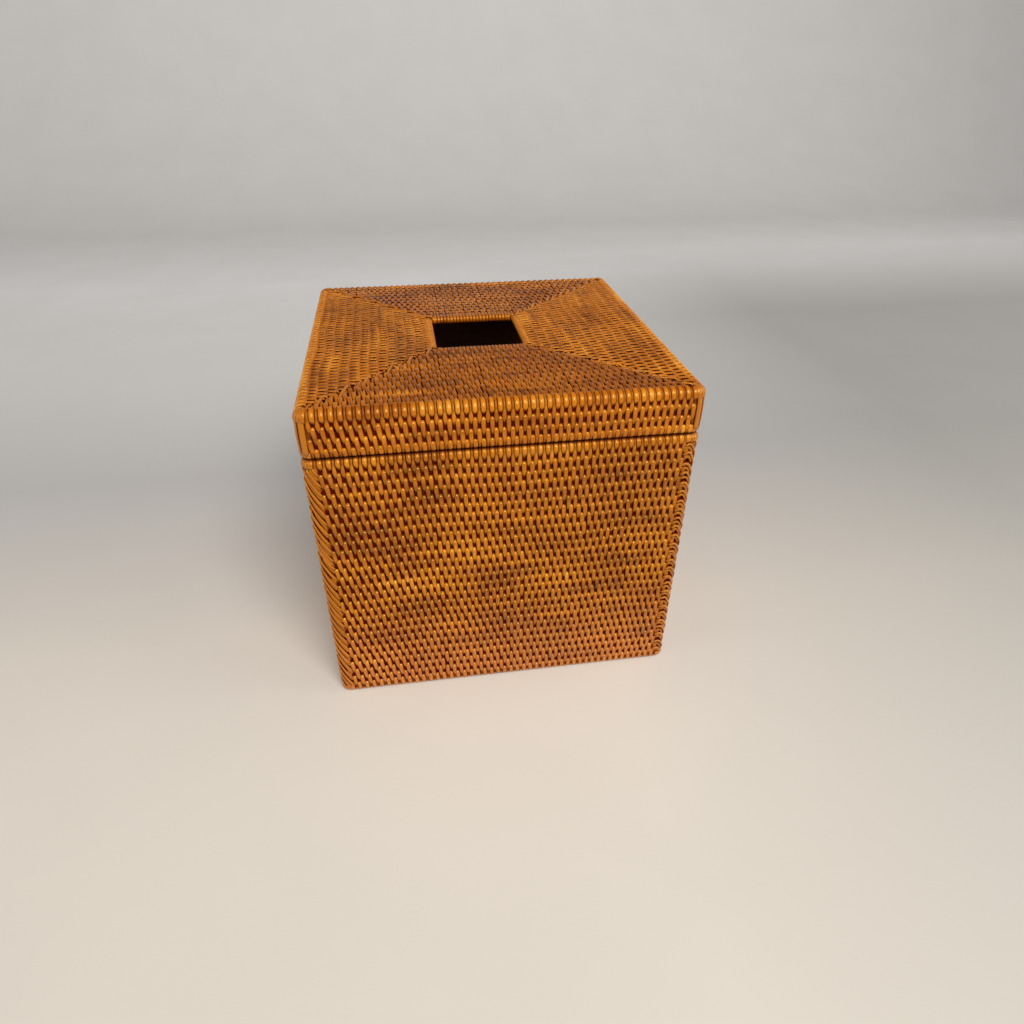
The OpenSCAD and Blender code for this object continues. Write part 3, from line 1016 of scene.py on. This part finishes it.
def lash_corners():
    """Strips of peel over every upright corner of the basket and the lid."""
    for corner, name in enumerate(CORNERS):
        basket = Batch()
        for top in BODY_HEIGHTS[0] + BODY_PITCH * np.arange(3, -BODY_ROWS, -1):
            for lower, sunk in ((0, 0), (LASHING_PAIR * BODY_PITCH, LASHING_SUNK)):
                corner_strip(basket, corner, top - lower + random.normal(scale=0.16), sunk)
        basket.build(f"{name}_corner_lashing", "basket", LASHING_PEEL, [f"{name}_lashing"])
        lid = Batch()
        first = corner * COVER.quarter + COVER.side
        for place, depth, painted_shade in FALLS:
            corner_fall(lid, first + place * COVER.arc, depth, painted_shade)
        lid.build(f"{name}_lid_lashing", "lid", LASHING_PEEL, [f"{name}_skirt_lashing"])


SEAM_STEP = 6.2
SEAM_LENGTH = 11.5
SEAM_WIDTH = 1.45
SEAM_CROSSING = 2.2
# Where the seam's strips start and end, from the opening's edge and the cover's
SEAM_START = 1.5
SEAM_END = 4.6
# How deep a strip's ends dive, and how much deeper every second strip lies
SEAM_DIVE = 1.5
SEAM_UNDER = 0.5
SEAM_SAMPLES = 13
SEAM_TONE = 0.52
RIB_SAMPLES = 12
RIB_DRAWN_IN = 2.6
TOWARDS = np.array([(1, -1), (1, 1), (-1, 1), (-1, -1)], float)


def lay_ribs():
    """Cane under each seam of the top, from the opening's hoop to the lid's corner."""
    for name, towards in zip(CORNERS, TOWARDS):
        low, high = node_box(f"{name}_rib")
        radius = (high[2] - low[2]) / 2
        middle = (low + high) / 2
        half = (high - low)[:2] / 2
        start = middle[:2] - towards * (half - RIB_DRAWN_IN)
        end = middle[:2] + towards * (half - radius)
        path = np.column_stack([np.linspace(start, end, RIB_SAMPLES), np.full(RIB_SAMPLES, middle[2])])
        rib = Batch(ROD_SECTION)
        rib.sweep(path, UPWARD, radius, radius, 0.5, 0)
        rib.build(f"{name}_mitre_rib", "lid", ROD_CANE_DARK_AS_SHADE, [f"{name}_rib"])


def sew_mitres():
    """Thin strips that cross each seam between two top panels at a slight angle, with holes between them."""
    for name, towards in zip(CORNERS, TOWARDS):
        start = RING_CENTRE[:2] + towards * (OPENING_HALF + SEAM_START)
        end = towards * (COVER_HALF - SEAM_END)
        length = np.linalg.norm(end - start)
        ahead = (end - start) / length
        aside = np.array([-ahead[1], ahead[0]])
        batch = Batch()
        share = np.linspace(0, 1, SEAM_SAMPLES)
        for index, middle in enumerate(np.arange(SEAM_STEP / 2, length - 1, SEAM_STEP)):
            along = middle + (share - 0.5) * SEAM_LENGTH + random.normal(scale=0.4)
            keep = (along > -1) & (along < length + 1)
            swerve = SEAM_CROSSING * np.sin(math.pi * (share - 0.5)) + random.normal(scale=0.2)
            place = start + along[:, None] * ahead + swerve[:, None] * aside
            dipped = 1 - smooth(0.0, 0.25, share) * smooth(0.0, 0.25, 1 - share)
            tuck = SEAM_DIVE * dipped + SEAM_UNDER * (index % 2)
            path = np.column_stack([place, LID_TOP - DOME * PEEL - tuck])[keep]
            # Painted shade at the strip's ends, where it dives under the panels
            painted_shade = 0.9 * (1 - smooth(0.0, 0.18, share) * smooth(0.0, 0.18, 1 - share))[keep]
            widths = np.full(len(path), SEAM_WIDTH * (1 + random.normal(scale=0.08)))
            widths[[0, -1]] *= THIN_TIP
            batch.sweep(path, UPWARD, widths / 2, PEEL, SEAM_TONE + random.normal(scale=0.08), painted_shade)
        batch.build(f"{name}_mitre_seam", "lid", SEAM_PEEL, [f"{name}_mitre"])


FLOOR_STRANDS = 80
FLOOR_ROWS = 33
FLOOR_MARGIN = 1.0
FLOOR_ROD_RADIUS = 1.0
FLOOR_TONE = 0.42


def weave_floor():
    """The basket's woven floor: level rods from side to side, and strands from front to back."""
    thick = FLOOR_HIGH[2] - FLOOR_LOW[2]
    middle = (FLOOR_HIGH[2] + FLOOR_LOW[2]) / 2
    swing = thick / 2 - DOME * PEEL
    half = FLOOR_HIGH[0] - FLOOR_MARGIN
    pitch = 2 * half / FLOOR_STRANDS
    row_pitch = 2 * half / FLOOR_ROWS
    batch = Batch()
    for index in range(FLOOR_STRANDS):
        right = (index + 0.5) * pitch - half
        stations = [Station(-half, middle, 90, swing, 0, 0, 0, TIGHT, 2)]
        for row in range(FLOOR_ROWS):
            reach = (row + 0.5) * row_pitch - half
            front = side_of_rod(row, index % 2)
            stations.append(Station(reach, middle, 90, swing, front, row % BODY_ROWS, 1, WIDE, 3))
        stations.append(Station(half, middle, 90, swing, 0, 0, 0, TIGHT, 1))
        lay_strand(batch, 0, right, stations, body_wave, body_tone, body_lean, FLOOR_TONE)
    batch.build("floor_weave", "basket", FLOOR_PEEL, ["floor_panel"])
    rods = Batch(ROD_SECTION)
    for row in range(FLOOR_ROWS):
        reach = (row + 0.5) * row_pitch - half
        right = np.linspace(-half, half, 30)
        path = np.column_stack([right, -reach + 0 * right, middle + 0 * right])
        rods.sweep(path, UPWARD, ROD_RISE, FLOOR_ROD_RADIUS, 0.5, 0)
    rods.build("floor_rods", "basket", ROD_CANE_DARK_AS_SHADE)


def dress_frame():
    """Materials of the pieces of the frame that stay in view."""
    hoops = ["base_hoop", "rim_hoop", "edge_hoop", "skirt_hoop", "opening_hoop"]
    posts = [f"{corner}_post" for corner in CORNERS]
    for names, material in ((hoops, HOOP_CANE), (posts, ROD_CANE_DARK_AS_SHADE), (["collar"], COLLAR_SPLINT)):
        for name in names:
            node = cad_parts[name]
            node.data.materials.clear()
            node.data.materials.append(material)


STAGE_FLOOR = 3.0
STAGE_BACK = 0.9
STAGE_CURVE = 0.5
STAGE_STEPS = 12
BACKDROP_FADE = (0.45, 1.0)
BACKDROP_TOP = (0.10, 0.10, 0.10, 1)
MOTTLE = (0.50, 0.47, 0.44, 1)
# Floor colour from front to back: a painted pool of light just in front of the cover, a painted shadow just
# behind it, paler again towards the backdrop
FLOOR_LIGHT_AND_SHADOW_STOPS = (
    (0.0, (0.58, 0.550, 0.495)),
    (0.22, (0.67, 0.625, 0.570)),
    (0.36, (0.50, 0.490, 0.495)),
    (0.51, (0.65, 0.640, 0.635)),
    (0.75, (0.82, 0.82, 0.83)),
    (1.0, (0.75, 0.745, 0.745)),
)
# Painted shade on the floor to the right of the cover, fading out further back
FLOOR_RIGHT = (0.05, 0.36)
FLOOR_FAR = (0.42, 0.70)
FLOOR_SHADE = (0.30, 0.295, 0.285, 1)


def make_stage():
    """A pale floor that curves up into a backdrop, with painted light and shadow round the cover and painted
    shade to its right.
    """
    profile = [(-STAGE_FLOOR, 0.0), (STAGE_BACK, 0.0)]
    for step in range(1, STAGE_STEPS + 1):
        angle = step / STAGE_STEPS * QUARTER_TURN
        profile.append((STAGE_BACK + STAGE_CURVE * math.sin(angle), STAGE_CURVE * (1 - math.cos(angle))))
    profile.append((STAGE_BACK + STAGE_CURVE, STAGE_FLOOR))
    points = [(x, y, z) for y, z in profile for x in (-STAGE_FLOOR, STAGE_FLOOR)]
    faces = [(2 * i, 2 * i + 1, 2 * i + 3, 2 * i + 2) for i in range(len(profile) - 1)]
    mesh = bpy.data.meshes.new("floor")
    mesh.from_pydata(points, [], faces)
    mesh.polygons.foreach_set("use_smooth", np.ones(len(faces), bool))
    floor = bpy.data.objects.new("floor", mesh)
    bpy.context.scene.collection.objects.link(floor)
    paint = Paint("floor")
    place = paint.object_place()
    axes = paint.put("SeparateXYZ", {"Vector": place}).outputs
    share = paint.spread(axes["Y"], -0.3, 0.9)
    colour = paint.ramp(share, FLOOR_LIGHT_AND_SHADOW_STOPS)
    # Painted shade to the right
    right = paint.spread(axes["X"], *FLOOR_RIGHT, 0.0, 0.75)
    near = paint.spread(axes["Y"], *FLOOR_FAR, 1.0, 0.0)
    colour = paint.mix(paint.math("MULTIPLY", right, near), colour, FLOOR_SHADE)
    colour = paint.mix(paint.spread(axes["Z"], *BACKDROP_FADE), colour, BACKDROP_TOP)
    mottle = paint.noise(place, 14.0, 3.0)
    colour = paint.mix(paint.spread(mottle, 0.35, 0.65, 0.0, 0.08), colour, MOTTLE)
    mesh.materials.append(finish_paint(paint, colour, 0.55, 0.0, 0.03))


def add_lamp(name, place, aim, size, power):
    data = bpy.data.lights.new(name, "AREA")
    data.shape = "SQUARE"
    data.size = size
    data.energy = power
    data.color = LAMP_COLOUR
    lamp = bpy.data.objects.new(name, data)
    lamp.location = place
    direction = np.array(aim) - np.array(place)
    flat = math.hypot(direction[0], direction[1])
    lamp.rotation_euler = (math.atan2(flat, -direction[2]), 0.0, math.atan2(-direction[0], direction[1]))
    bpy.context.scene.collection.objects.link(lamp)


LAMP_COLOUR = (1.0, 0.97, 0.92)
WORLD_COLOUR = (0.83, 0.81, 0.78, 1)
WORLD_STRENGTH = 0.36


def light_scene():
    """Soft studio light from above the camera, with fill from both sides."""
    aim = (0.0, 0.0, 0.07)
    add_lamp("key", (0.20, -0.93, 1.14), aim, 0.75, 19.2)
    add_lamp("left_fill", (-1.2, -0.2, 0.5), aim, 0.9, 4.0)
    add_lamp("right_fill", (1.2, -0.2, 0.5), aim, 0.9, 6.5)
    world = bpy.data.worlds.new("world")
    world.use_nodes = True
    background = world.node_tree.nodes["Background"]
    background.inputs["Color"].default_value = WORLD_COLOUR
    background.inputs["Strength"].default_value = WORLD_STRENGTH
    bpy.context.scene.world = world
    bpy.context.scene.view_settings.view_transform = "Standard"


weave_body()
weave_lid()
core_rods()
bind_hoops()
lash_corners()
sew_mitres()
lay_ribs()
weave_floor()
dress_frame()
make_stage()
light_scene()
